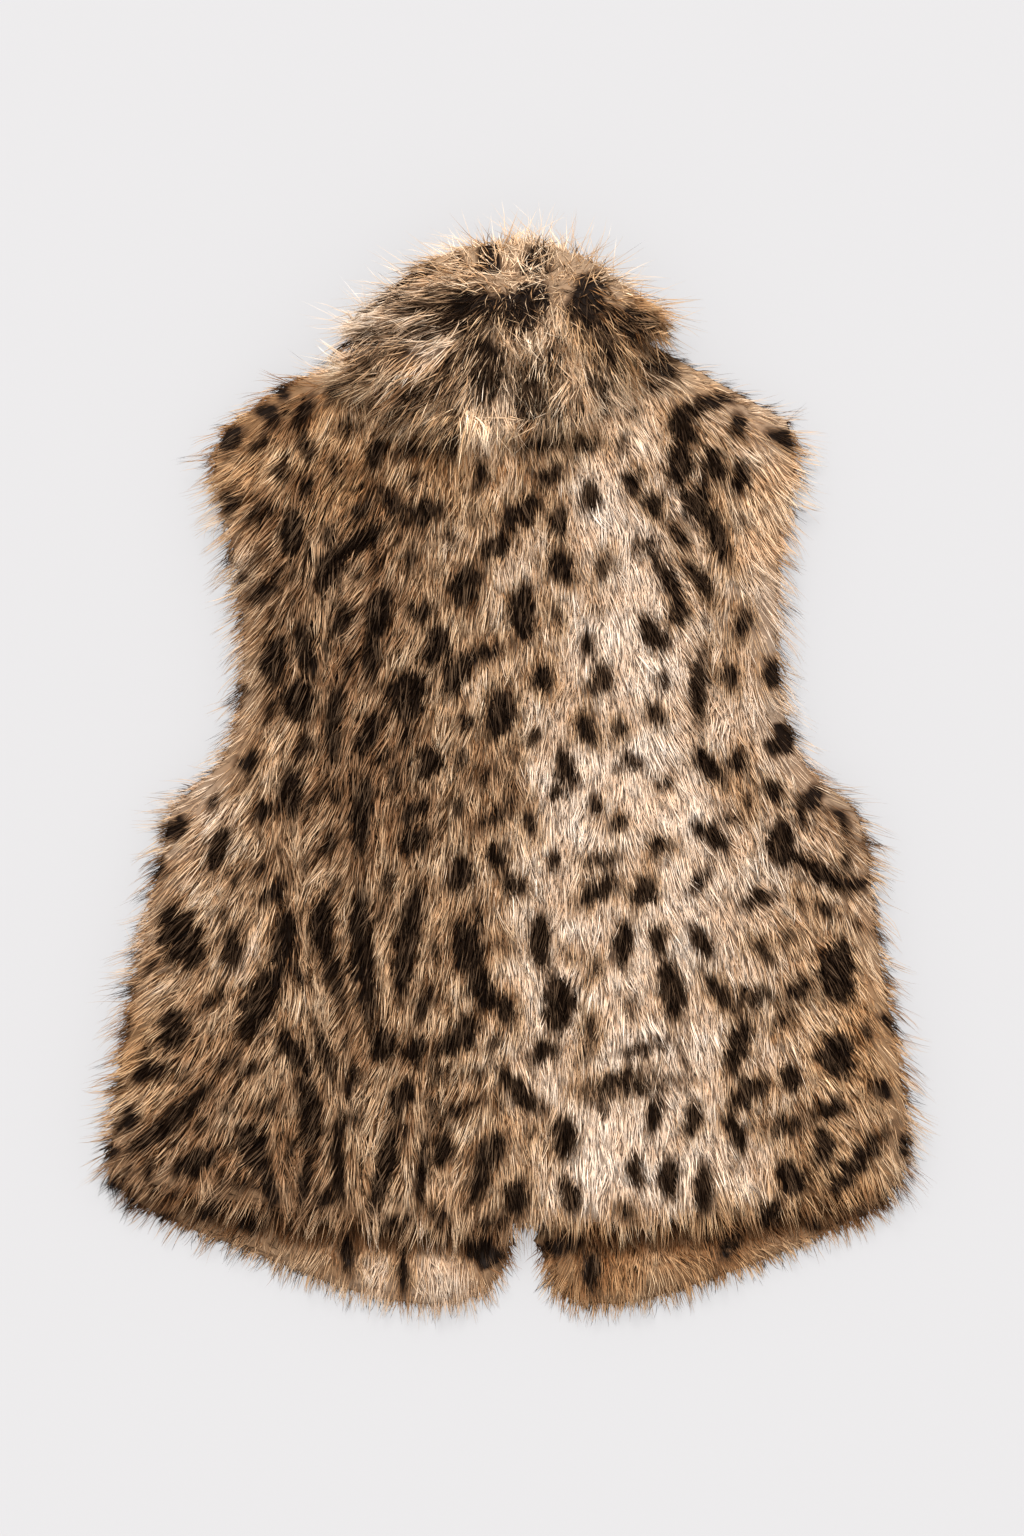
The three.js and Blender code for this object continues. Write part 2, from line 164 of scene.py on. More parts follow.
# How the pile is combed and how pale it is, at places on the vest in millimetres. comb is the turn from
# straight down, in degrees, towards the right.
PILE_GUIDES = [
    # x, y, comb, pale
    (-120, 345, -80, 1.00), (-60, 365, -50, 0.90), (10, 385, 0, 0.84), (70, 365, 50, 0.80),
    (120, 330, 80, 0.50), (-130, 300, -75, 1.00), (-70, 300, -35, 1.00), (30, 300, 2, 0.80),
    (100, 300, 45, 0.60), (-215, 235, -62, 0.52), (-165, 265, -40, 0.30), (-100, 275, -20, 0.50),
    (0, 245, 0, 0.96), (80, 250, 14, 0.92), (150, 270, 38, 0.74), (205, 235, 50, 0.80),
    (-205, 150, -52, 0.70), (-165, 160, -34, 0.25), (-120, 170, -24, 0.25), (-50, 190, -10, 0.50),
    (15, 190, 2, 0.60), (75, 190, 12, 0.95), (125, 180, 16, 0.88), (160, 200, 22, 0.60),
    (200, 160, 32, 0.80), (-205, 60, -44, 0.66), (-165, 70, -28, 0.25), (-120, 70, -16, 0.25),
    (-60, 80, -8, 0.40), (10, 80, 2, 0.58), (75, 80, 6, 0.98), (125, 70, 12, 0.92), (160, 80, 16, 0.65),
    (205, 80, 28, 0.76), (-235, -20, -52, 0.70), (-190, -10, -34, 0.55), (-150, -20, -22, 0.35),
    (-100, -20, -10, 0.28), (-30, -20, -2, 0.45), (50, -20, 4, 0.95), (120, -20, 10, 1.00),
    (180, -20, 22, 0.68), (240, -40, 38, 0.60), (-275, -130, -50, 0.62), (-230, -120, -40, 0.55),
    (-195, -130, -30, 0.65), (-130, -130, -12, 0.41), (-80, -130, -6, 0.41), (-40, -130, -4, 0.42),
    (40, -130, 3, 0.88), (120, -130, 8, 1.00), (180, -120, 18, 0.70), (230, -130, 24, 0.52),
    (275, -140, 32, 0.60), (-288, -230, -52, 0.50), (-240, -220, -44, 0.35), (-200, -230, -38, 0.36),
    (-130, -230, -15, 0.38), (-50, -230, -8, 0.45), (40, -230, 2, 0.80), (120, -235, 6, 1.00),
    (180, -230, 14, 0.75), (230, -230, 22, 0.50), (285, -240, 32, 0.56), (-270, -300, -45, 0.35),
    (-220, -300, -38, 0.30), (-150, -300, -14, 0.28), (-100, -300, -8, 0.33), (-45, -300, -6, 0.55),
    (24, -280, 0, 0.55), (58, -270, 3, 1.00), (60, -305, 4, 1.00), (120, -305, 7, 0.95),
    (175, -300, 14, 0.80), (225, -290, 22, 0.40), (275, -290, 32, 0.45), (-200, -340, -30, 0.35),
    (-140, -350, -16, 0.40), (-90, -365, -6, 0.70), (-45, -360, 0, 0.75), (-10, -350, 12, 0.45),
    (35, -350, -12, 0.30), (75, -365, 2, 0.28), (130, -350, 16, 0.24), (185, -335, 28, 0.28),
]


# Where the fur is more golden, in millimetres.
GOLDEN = [
    # x, y, reach
    (-205, 240, 75), (-150, 270, 60), (130, 325, 110), (0, 365, 110), (275, -190, 90), (235, -300, 60),
    (60, -360, 55), (150, -345, 60), (-285, -200, 60), (215, 220, 45), (-120, 215, 60), (60, 290, 90),
    (-30, 230, 60), (200, 190, 70),
]


# Gold is full from the middle out to 1 - 1 / GOLD_FADE of its reach.
GOLD_FADE = 1.6


def golden(places):
    """How golden the fur is at plan places, from 0 to 1."""
    gold = np.zeros(len(places))
    for x, y, reach in GOLDEN:
        away = np.hypot(places[:, 0] - x * 0.001, places[:, 1] - y * 0.001)
        gold = np.maximum(gold, np.clip(GOLD_FADE - GOLD_FADE * away / (reach * 0.001), 0.0, 1.0))
    return gold


def guided(places):
    """Comb angle in radians and paleness at plan places, as a soft mean of the guides near them."""
    total = np.zeros(len(places))
    comb = np.zeros(len(places))
    pale = np.zeros(len(places))
    for x, y, turn, paleness in PILE_GUIDES:
        away = np.hypot(places[:, 0] - x * 0.001, places[:, 1] - y * 0.001)
        weight = 1.0 / (away**3 + 1e-6)
        total += weight
        comb += weight * math.radians(turn)
        pale += weight * paleness
    return comb / total, pale / total


# The larger dark marks of the spotted-cat print, in millimetres. tilt is the turn of the long side from
# straight up, in degrees, towards the right.
MARKS = [
    # x, y, length, width, tilt: the collar; its first three, round the crown, are print and painted shade
    (10, 332, 46, 32, 60), (-28, 330, 58, 24, 78), (-62, 333, 36, 10, 80), (56, 338, 44, 24, 10),
    (-16, 290, 48, 26, -15), (16, 272, 44, 30, -5), (40, 257, 26, 13, 60), (72, 298, 36, 17, -60),
    (100, 304, 38, 13, -70), (86, 320, 36, 16, -60), (-14, 378, 24, 10, 40), (-84, 346, 22, 12, 80),
    (-62, 360, 18, 10, 60), (-64, 268, 62, 12, 78), (-60, 315, 56, 8, 85), (33, 296, 28, 12, 10),
    (65, 274, 32, 13, -20), (-38, 294, 30, 12, 60), (-86, 298, 32, 7, 80),
    # across the shoulders, left and right
    (-172, 258, 24, 12, -40), (-148, 258, 28, 10, 30), (-145, 234, 26, 10, -20), (-162, 216, 18, 10, -70),
    (-95, 230, 28, 14, 15), (-68, 232, 32, 12, 80), (-42, 244, 38, 13, -5), (-20, 212, 24, 10, 15),
    (22, 236, 40, 11, 85), (55, 236, 24, 12, 80), (30, 214, 24, 12, 80), (125, 250, 28, 18, -20),
    (140, 264, 56, 12, 65), (165, 250, 18, 12, 0), (198, 240, 26, 12, -60), (122, 222, 34, 18, 10),
    (148, 222, 26, 16, -20), (139, 198, 38, 10, 15), (166, 212, 26, 12, 15), (90, 210, 22, 14, 20),
    (58, 198, 22, 16, 20), (105, 192, 18, 14, 0),
    # between the shoulder blades
    (10, 188, 36, 18, 60), (36, 182, 22, 12, 0), (-80, 192, 44, 12, -45), (-60, 188, 30, 16, 75),
    (-8, 163, 30, 14, 65), (-105, 168, 44, 14, 60), (-155, 172, 36, 18, 0), (-128, 146, 36, 20, 30),
    (-92, 116, 38, 20, 10), (-31, 134, 34, 22, 10), (38, 148, 26, 18, -20), (11, 115, 42, 19, -5),
    (-52, 92, 30, 18, 20), (-20, 86, 38, 11, 75), (-38, 70, 28, 18, 40), (130, 194, 26, 12, 20),
    (150, 170, 44, 14, -18), (122, 170, 22, 11, -30), (114, 140, 36, 12, -30), (138, 138, 34, 11, -35),
    (122, 116, 22, 14, 10), (104, 100, 30, 16, -40), (98, 163, 22, 10, 75), (168, 108, 22, 12, 10),
    # the waist
    (-168, 82, 36, 20, 10), (-145, 88, 42, 14, -15), (-176, 130, 28, 14, 60), (-98, 84, 40, 14, 5),
    (-72, 56, 36, 28, 10), (-6, 42, 38, 22, 20), (-150, 52, 32, 24, 0), (-125, 36, 60, 14, 5),
    (-100, 28, 36, 14, 30), (-57, 8, 24, 22, 10), (24, 68, 20, 16, 0), (66, 67, 24, 16, 30),
    (137, 62, 56, 12, 3), (190, 72, 22, 15, 0), (56, 32, 24, 14, -20), (42, 4, 32, 14, -20),
    (87, 8, 24, 12, 80), (144, 5, 34, 14, -45), (165, 9, 20, 14, 0), (198, 26, 32, 20, 40),
    (-157, -14, 40, 16, 0), (-175, -26, 22, 14, 60), (-105, -30, 62, 16, 5), (-68, -48, 28, 18, 70),
    (-68, -26, 28, 12, 60), (-240, -40, 26, 14, 60), (-208, -54, 36, 14, 20), (-168, -84, 32, 12, 50),
    (-35, -72, 28, 18, 20), (-8, -58, 20, 16, 20), (-8, -30, 36, 10, 60), (4, -80, 22, 13, -60),
    (145, -45, 34, 14, -55), (67, -62, 28, 10, 80), (64, -84, 34, 14, 65), (137, -77, 26, 10, 45),
    (178, -90, 32, 12, 75), (196, -50, 36, 20, 0), (226, -72, 54, 13, -62), (250, -80, 22, 10, 70),
    (112, -7, 18, 8, 60), (63, -22, 14, 10, 30), (79, -35, 14, 12, 30), (106, 42, 18, 13, -30),
    (80, 32, 14, 12, 0), (18, 26, 14, 10, 0), (56, 92, 20, 10, 10), (36, -14, 20, 10, 70),
    (33, -63, 16, 10, -10), (108, -52, 18, 12, 60),
    # long dark strokes low on the left, and what surrounds them
    (-135, -108, 40, 18, 0), (-127, -140, 74, 12, -15), (-104, -130, 108, 17, -5), (-72, -120, 88, 17, 9),
    (-30, -124, 42, 24, -10), (-19, -152, 42, 18, -25), (-4, -168, 26, 15, -50), (-36, -188, 42, 20, 50),
    (-161, -118, 42, 20, 8), (-178, -164, 62, 24, 28), (-154, -200, 42, 14, -40),
    (-235, -118, 52, 28, -25), (-240, -184, 32, 22, 0), (-258, -214, 28, 14, 80),
    (-242, -248, 84, 15, 50), (-225, -279, 36, 18, 70), (-185, -268, 36, 22, -30),
    (-172, -297, 54, 11, -12), (-143, -244, 54, 18, -8), (-146, -292, 48, 9, 10),
    (-122, -280, 70, 10, -3), (-132, -200, 50, 9, -20), (-90, -195, 26, 20, 0), (-68, -199, 24, 16, 60),
    (-76, -232, 28, 16, 40), (-90, -285, 70, 13, 14), (-62, -285, 56, 9, 5), (-37, -242, 44, 8, 68),
    (-48, -270, 26, 16, 0), (-13, -270, 32, 18, 50), (-21, -292, 40, 13, 20), (8, -228, 50, 14, -45),
    # low on the right
    (23, -120, 42, 15, 0), (82, -122, 36, 14, 5), (108, -118, 20, 14, 20), (138, -120, 30, 14, -30),
    (236, -142, 46, 26, 0), (117, -155, 46, 18, -10), (36, -165, 42, 24, 0), (152, -158, 38, 12, -40),
    (176, -160, 32, 12, 80), (209, -155, 26, 12, 60), (98, -196, 46, 9, 76), (75, -220, 52, 10, 75),
    (95, -226, 72, 8, 78), (25, -200, 26, 14, 70), (165, -195, 42, 16, 20), (173, -229, 38, 16, 60),
    (203, -218, 20, 16, 0), (236, -202, 32, 28, 0), (229, -240, 32, 13, 80), (198, -252, 32, 12, 80),
    (40, -262, 32, 19, 0), (105, -245, 28, 12, 20), (132, -248, 28, 12, 10), (163, -258, 32, 12, -25),
    (91, -285, 26, 14, -10), (115, -290, 32, 16, 0), (140, -298, 40, 14, 0), (44, -302, 28, 14, -20),
    (203, -290, 26, 20, -30), (226, -268, 28, 14, 0), (250, -280, 72, 14, 40), (188, -316, 26, 14, 40),
    (6, -304, 28, 18, 0),
    # the hems of the fronts
    (-116, -345, 32, 10, 0), (-76, -358, 40, 7, 0), (-18, -345, 34, 20, -60), (60, -358, 28, 13, 10),
    (38, -341, 40, 13, 75), (160, -340, 26, 12, 40),
]


# Places without strewn marks, in millimetres.
PLAIN = [
    # x, y, reach
    (190, 195, 26), (192, 160, 24), (200, 225, 16), (135, 292, 26), (-190, 215, 18), (-232, -80, 18),
    (85, -100, 16),
]


# Thin streaks on the collar, in millimetres and degrees. They come after the strewn marks, which keep no
# distance from them.
STREAKS = [
    # x, y, length, width, tilt
    (-88, 337.6, 30, 8, 78), (-68, 362.1, 20, 8, 62), (-98, 315.6, 28, 7, 88), (-44, 345.8, 26, 7, 72),
    (98, 324.0, 30, 11, -60), (110, 291.9, 28, 11, -66), (62, 319.9, 26, 9, -45),
    (120, 310.7, 22, 8, -70),
]


def mark_radius(marks, dx, dy):
    """From the middle of each of the marks to its edge, in the direction dx, dy."""
    turn = np.radians(marks[:, 4])
    along = dx * np.sin(turn) + dy * np.cos(turn)
    across = dx * np.cos(turn) - dy * np.sin(turn)
    times_outside = np.hypot(along / (0.5 * marks[:, 2]), across / (0.5 * marks[:, 3]))
    return np.hypot(dx, dy) / np.maximum(times_outside, 1e-6)


# Strewn marks come in rounds: the longest that a mark may be, in millimetres, and how many are tried. The
# gap between marks is MARK_GAP in tawny pile and PALE_GAP more in the palest.
STREWN = ((24.0, 1500), (18.0, 2500), (12.0, 3500))
STREWN_LOW = (-300.0, -325.0)
STREWN_HIGH = (300.0, 390.0)
MARK_GAP = 2.2
PALE_GAP = 21.0
PAIRED_SHARE = 0.3


def with_more_marks(marks, rng):
    """The marks, and smaller ones strewn between them: closer together and more along the comb where the
    pile is tawny, and some of them in pairs that touch."""
    marks = np.array(marks, dtype=float)
    plain = np.array(PLAIN, dtype=float)
    for longest, tries in STREWN:
        for x, y in rng.uniform(STREWN_LOW, STREWN_HIGH, (tries, 2)):
            comb, pale = guided(np.array([[x * 0.001, y * 0.001]]))
            length = longest * rng.uniform(0.65, 1.0)
            tilt = -math.degrees(comb[0]) + rng.normal(0.0, 20.0 + 35.0 * pale[0])
            mark = np.array([[x, y, length, length * rng.uniform(0.38, 0.75), tilt]])
            dx, dy = x - marks[:, 0], y - marks[:, 1]
            gap = (MARK_GAP + PALE_GAP * pale[0]) * rng.uniform(0.4, 1.6)
            room = np.hypot(dx, dy) - mark_radius(marks, dx, dy) - mark_radius(mark, dx, dy)
            away = np.hypot(x - plain[:, 0], y - plain[:, 1]) - plain[:, 2]
            if room.min() > gap and away.min() > 0.0:
                marks = np.append(marks, mark, axis=0)
                if rng.random() < PAIRED_SHARE:
                    lean = math.radians(tilt + rng.uniform(-25.0, 25.0))
                    place = (x + 0.6 * length * math.sin(lean), y + 0.6 * length * math.cos(lean))
                    partner = (*place, 0.8 * length, 0.35 * length, tilt + rng.choice((-60.0, 60.0)))
                    marks = np.append(marks, [partner], axis=0)
    return marks


# How deep inside a mark, in millimetres, its brown rim and its dark hair begin and where each is full. A
# minus is outside the mark. The pile turns tawny out to TAWNY_REACH from most marks.
PRINT_REACH = 12.0
MARK_RIM = (-3.4, -0.5)
MARK_EDGE = (-0.9, 1.1)
TAWNY_REACH = 9.0
TAWNY_FADE = 7.0
BEND = 0.9
WAVE = 0.14


def printed(places, marks):
    """How deep inside a dark mark plan places are, with PRINT_REACH outside as 0 and as much inside as 1,
    and how close a mark with tawny pile round it is. Each mark is bent and wavy in its own way, and has
    its own share of tawny pile, by sines of its place."""
    x, y = places[:, 0] * 1000.0, places[:, 1] * 1000.0
    inside = np.full(len(places), -PRINT_REACH)
    rim = np.zeros(len(places))
    for mark_x, mark_y, length, width, tilt in marks:
        reach = 0.5 * length + PRINT_REACH
        near = np.flatnonzero((abs(x - mark_x) < reach) & (abs(y - mark_y) < reach))
        turn = math.radians(tilt)
        dx, dy = x[near] - mark_x, y[near] - mark_y
        along = dx * math.sin(turn) + dy * math.cos(turn)
        across = dx * math.cos(turn) - dy * math.sin(turn)
        bend = math.sin(mark_x * 12.9 + mark_y * 4.1)
        across = across + bend * BEND * width * ((along / length) ** 2 - 0.08)
        across = across + WAVE * width * np.sin(along * 0.45 + 5.0 * bend)
        depth = (1.0 - np.hypot(along / (0.5 * length), across / (0.5 * width))) * 0.5 * min(length, width)
        inside[near] = np.maximum(inside[near], depth)
        warmth = 0.5 + 0.5 * math.sin(mark_y * 7.7)
        rim[near] = np.maximum(rim[near], warmth * np.clip((depth + TAWNY_REACH) / TAWNY_FADE, 0.0, 1.0))
    return 0.5 + 0.5 * np.clip(inside / PRINT_REACH, -1.0, 1.0), rim


def root_places(slab, count, weight, rng):
    """Points on a slab and its normals there, spread evenly but for weight(centres, normals)."""
    mesh = slab.data
    mesh.calc_loop_triangles()
    points = np.empty(len(mesh.vertices) * 3)
    mesh.vertices.foreach_get("co", points)
    points = points.reshape(-1, 3)
    normals = np.empty(len(mesh.vertices) * 3)
    mesh.vertices.foreach_get("normal", normals)
    normals = normals.reshape(-1, 3)
    corners = np.empty(len(mesh.loop_triangles) * 3, dtype=np.int64)
    mesh.loop_triangles.foreach_get("vertices", corners)
    corners = corners.reshape(-1, 3)
    a, b, c = points[corners[:, 0]], points[corners[:, 1]], points[corners[:, 2]]
    faces = np.cross(b - a, c - a)
    area = np.linalg.norm(faces, axis=1)
    share = area * weight((a + b + c) / 3.0, faces / np.maximum(area, 1e-12)[:, None])
    chosen = rng.choice(len(corners), size=count, p=share / share.sum())
    u, v = rng.random(count), rng.random(count)
    over = u + v > 1.0
    u[over], v[over] = 1.0 - u[over], 1.0 - v[over]
    parts = np.stack([1.0 - u - v, u, v], axis=1)[:, :, None]
    roots = (points[corners[chosen]] * parts).sum(axis=1)
    facing = (normals[corners[chosen]] * parts).sum(axis=1)
    return roots, facing / np.linalg.norm(facing, axis=1, keepdims=True)


def unit(vectors):
    """Each of the vectors at a length of 1."""
    return vectors / np.maximum(np.linalg.norm(vectors, axis=1, keepdims=True), 1e-9)


# Stray hairs are longer, lift more, draw less into their tuft and are thinner than the rest.
STRAY_LENGTH = 1.5
STRAY_LIFT = 18.0
STRAY_PULL = 0.2
STRAY_WIDTH = 0.55

# How unlike single hairs are: shares of their length, width and pull towards their tuft, and degrees.
LENGTH_RANGE = (0.72, 1.15)
WIDTH_RANGE = (0.75, 1.25)
PULL_RANGE = (0.15, 0.75)
LIFT_SPREAD = 6.0
TUFT_CURL = 7.0
CURL_AT_END = 1.6
ROOT_DEPTH = 0.0008


def hair_paths(roots, normals, comb, shares, sizes, joints, rng):
    """The points along each hair, its width and its tone. Hairs of a tuft lean alike and draw together at
    their ends. shares scales each hair's length, and hairs at an outline vary more in it."""
    count = len(roots)
    tufts = max(count // sizes["tuft"], 1)
    tree = kdtree.KDTree(tufts)
    heads = rng.choice(count, size=tufts, replace=False)
    for i, head in enumerate(heads):
        tree.insert(roots[head], i)
    tree.balance()
    tuft = np.array([tree.find(root)[1] for root in roots])
    tuft_turn = rng.normal(0.0, sizes["tuft_turn"], len(heads))
    tuft_lift = rng.normal(0.0, sizes["tuft_lift"], len(heads))
    tuft_length = rng.normal(1.0, sizes["length_spread"], len(heads))
    lay = unit(comb - normals * (comb * normals).sum(axis=1, keepdims=True))
    side = np.cross(normals, lay)
    turn = np.radians(tuft_turn[tuft] + rng.normal(0.0, sizes["turn"], count))[:, None]
    lay = lay * np.cos(turn) + side * np.sin(turn)
    tuft_fringe = rng.gamma(1.2, sizes["fringe"], len(heads))[tuft]
    fringe = 1.0 + (1.0 - shares) * (0.8 * tuft_fringe + rng.gamma(1.2, 0.35 * sizes["fringe"], count))
    length = shares * fringe * tuft_length[tuft] * rng.uniform(*LENGTH_RANGE, count)
    stray = rng.random(count) < sizes["stray_share"] + sizes["edge_strays"] * (1.0 - shares)
    length[stray] *= STRAY_LENGTH * sizes["stray_reach"]
    longest = sizes["longest"] * np.where(stray, sizes["stray_reach"], 1.0)
    length = sizes["length"] * np.minimum(length, np.maximum(longest, 1.25 * shares))
    start = np.radians(sizes["start_lift"] + tuft_lift[tuft] + rng.normal(0.0, LIFT_SPREAD, count))
    end = sizes["end_lift"] + tuft_lift[tuft] + rng.normal(0.0, LIFT_SPREAD, count) + STRAY_LIFT * stray
    end = np.radians(end)
    curl = rng.normal(0.0, math.radians(sizes["curl"]), count)
    curl = curl + np.radians(rng.normal(0.0, TUFT_CURL, len(heads)))[tuft]
    path = [roots - normals * ROOT_DEPTH]
    heading_side = np.cross(normals, lay)
    steps = len(joints)
    previous = 0.0
    for i, joint in enumerate(joints):
        share = (i + 0.5) / steps
        lift = (start * (1.0 - share) + end * share)[:, None]
        yaw = (curl * share * CURL_AT_END)[:, None]
        flat = lay * np.cos(yaw) + heading_side * np.sin(yaw)
        heading = flat * np.cos(lift) + normals * np.sin(lift)
        path.append(path[-1] + heading * (length * (joint - previous))[:, None])
        previous = joint
    pull = rng.uniform(*PULL_RANGE, count)[:, None] * sizes["draw"]
    pull[stray] *= STRAY_PULL
    tips = path[-1]
    middle = np.zeros((len(heads), 3))
    np.add.at(middle, tuft, tips)
    middle /= np.bincount(tuft, minlength=len(heads))[:, None]
    for i, joint in enumerate(joints):
        path[i + 1] = path[i + 1] + (middle[tuft] - tips) * pull * joint**1.5
    for i, joint in enumerate(joints):
        path[i + 1][:, 2] -= sizes["sag"] * (1.0 - shares) * joint**1.5
    width = sizes["width"] * rng.uniform(*WIDTH_RANGE, count) / fringe**0.55
    width[stray] *= STRAY_WIDTH
    tone = rng.normal(sizes["mean_tone"], sizes["tuft_tone"], len(heads))[tuft]
    tone = tone + rng.normal(0.0, sizes["tone"], count)
    # Painted light: hairs are paler towards the outline, where the pile turns down away from the light.
    # Long fringe hairs and strays at the outline are darker.
    at_outline = shares < 0.9
    tone += 0.10 * (1.0 - shares) - 0.07 * (fringe - 1.0) - 0.10 * stray * at_outline
    return path, width, tone


# The lowest that a hair may hang above the floor, and the highest that it may stand above the solids.
LOWEST = 0.0004
PILE_ABOVE = 0.009


def hair_mesh(name, path, widths, normals, dyes):
    """All the hairs as one mesh. Each is a closed three-sided spindle that swells after its root and ends
    in a point, with a cell of its own in the map. dyes holds darkness, paleness, tone and gold for each
    point of each hair."""
    count = len(path[0])
    rings = len(path) - 2
    swell = [1.0, 0.62] if rings == 2 else [1.0]
    verts = [path[0]]
    for ring in range(1, rings + 1):
        ahead = unit(path[ring + 1] - path[ring - 1])
        side = unit(np.cross(ahead, normals))
        up = np.cross(side, ahead)
        for corner in range(3):
            turn = math.radians(90.0 + 120.0 * corner)
            offset = side * math.cos(turn) + up * math.sin(turn)
            verts.append(path[ring] + offset * (widths * 0.5 * swell[ring - 1])[:, None])
    verts.append(path[-1])
    each = len(verts)
    coords = np.stack(verts, axis=1)
    coords[:, :, 2] = np.clip(coords[:, :, 2], LOWEST, cad_high.z + PILE_ABOVE)
    tip = each - 1
    faces = [(0, 1 + (k + 1) % 3, 1 + k) for k in range(3)]
    if rings == 2:
        for k in range(3):
            k_next = (k + 1) % 3
            faces += [(1 + k, 1 + k_next, 4 + k_next), (1 + k, 4 + k_next, 4 + k)]
    last = 1 + 3 * (rings - 1)
    faces += [(last + k, last + (k + 1) % 3, tip) for k in range(3)]
    faces = np.array(faces)
    corners = (np.arange(count)[:, None, None] * each + faces[None]).reshape(-1)
    mesh = bpy.data.meshes.new(name)
    mesh.vertices.add(count * each)
    mesh.vertices.foreach_set("co", coords.reshape(-1))
    mesh.loops.add(len(corners))
    mesh.loops.foreach_set("vertex_index", corners)
    mesh.polygons.add(len(corners) // 3)
    mesh.polygons.foreach_set("loop_start", np.arange(0, len(corners), 3))
    mesh.polygons.foreach_set("use_smooth", np.ones(len(corners) // 3, dtype=bool))
    mesh.update(calc_edges=True)
    levels = np.array([0.0] + [0.42] * 3 + ([0.72] * 3 if rings == 2 else []) + [1.0])
    across = np.array([0.5] + [0.2, 0.5, 0.8] * rings + [0.5])
    columns = math.ceil(math.sqrt(count * 3.0))
    lines = math.ceil(count / columns)
    cell = np.arange(count)
    u = ((cell % columns)[:, None] + across[None]) / columns
    v = ((cell // columns)[:, None] + 0.06 + 0.88 * levels[None]) / lines
    places = np.stack([u, v], axis=2).reshape(-1, 2)
    layer = mesh.uv_layers.new(name="OFBake")
    layer.data.foreach_set("uv", places[corners].reshape(-1).astype(np.float32))
    dyed = dyes[:, np.repeat(np.arange(rings + 2), [1] + [3] * rings + [1])]
    colours = mesh.attributes.new("print", "FLOAT_COLOR", "POINT")
    colours.data.foreach_set("color", dyed.reshape(-1))
    along = mesh.attributes.new("along", "FLOAT", "POINT")
    along.data.foreach_set("value", np.tile(levels.astype(np.float32), count))
    piece = bpy.data.objects.new(name, mesh)
    bpy.context.collection.objects.link(piece)
    return piece


# Colours of the pile. The last six are multiplied into the others.
TAWNY = (0.30, 0.165, 0.085)
TAN = (0.60, 0.42, 0.265)
CREAM = (0.97, 0.84, 0.72)
DARKEST_MARK = (0.0155, 0.0076, 0.0036)
# The paler brown hairs in the marks are partly their own colour and partly painted highlight.
PALE_MARK_HAIR_AND_HIGHLIGHT = (0.090, 0.051, 0.028)
RIM_BROWN = (0.19, 0.105, 0.055)
DULL = (0.94, 0.85, 0.76)
GOLDEN_TINT = (1.05, 0.975, 0.85)
# Along each hair: painted shade, darkest at the root, and paler towards the end.
SHADE_AT_ROOT = (0.32, 0.21, 0.14)
HALF_WAY = (0.94, 0.88, 0.82)
AT_END = (1.06, 1.08, 1.10)
# Painted shade deep under the pile, multiplied into the backing.
SHADE_UNDER_PILE = (0.34, 0.30, 0.27)


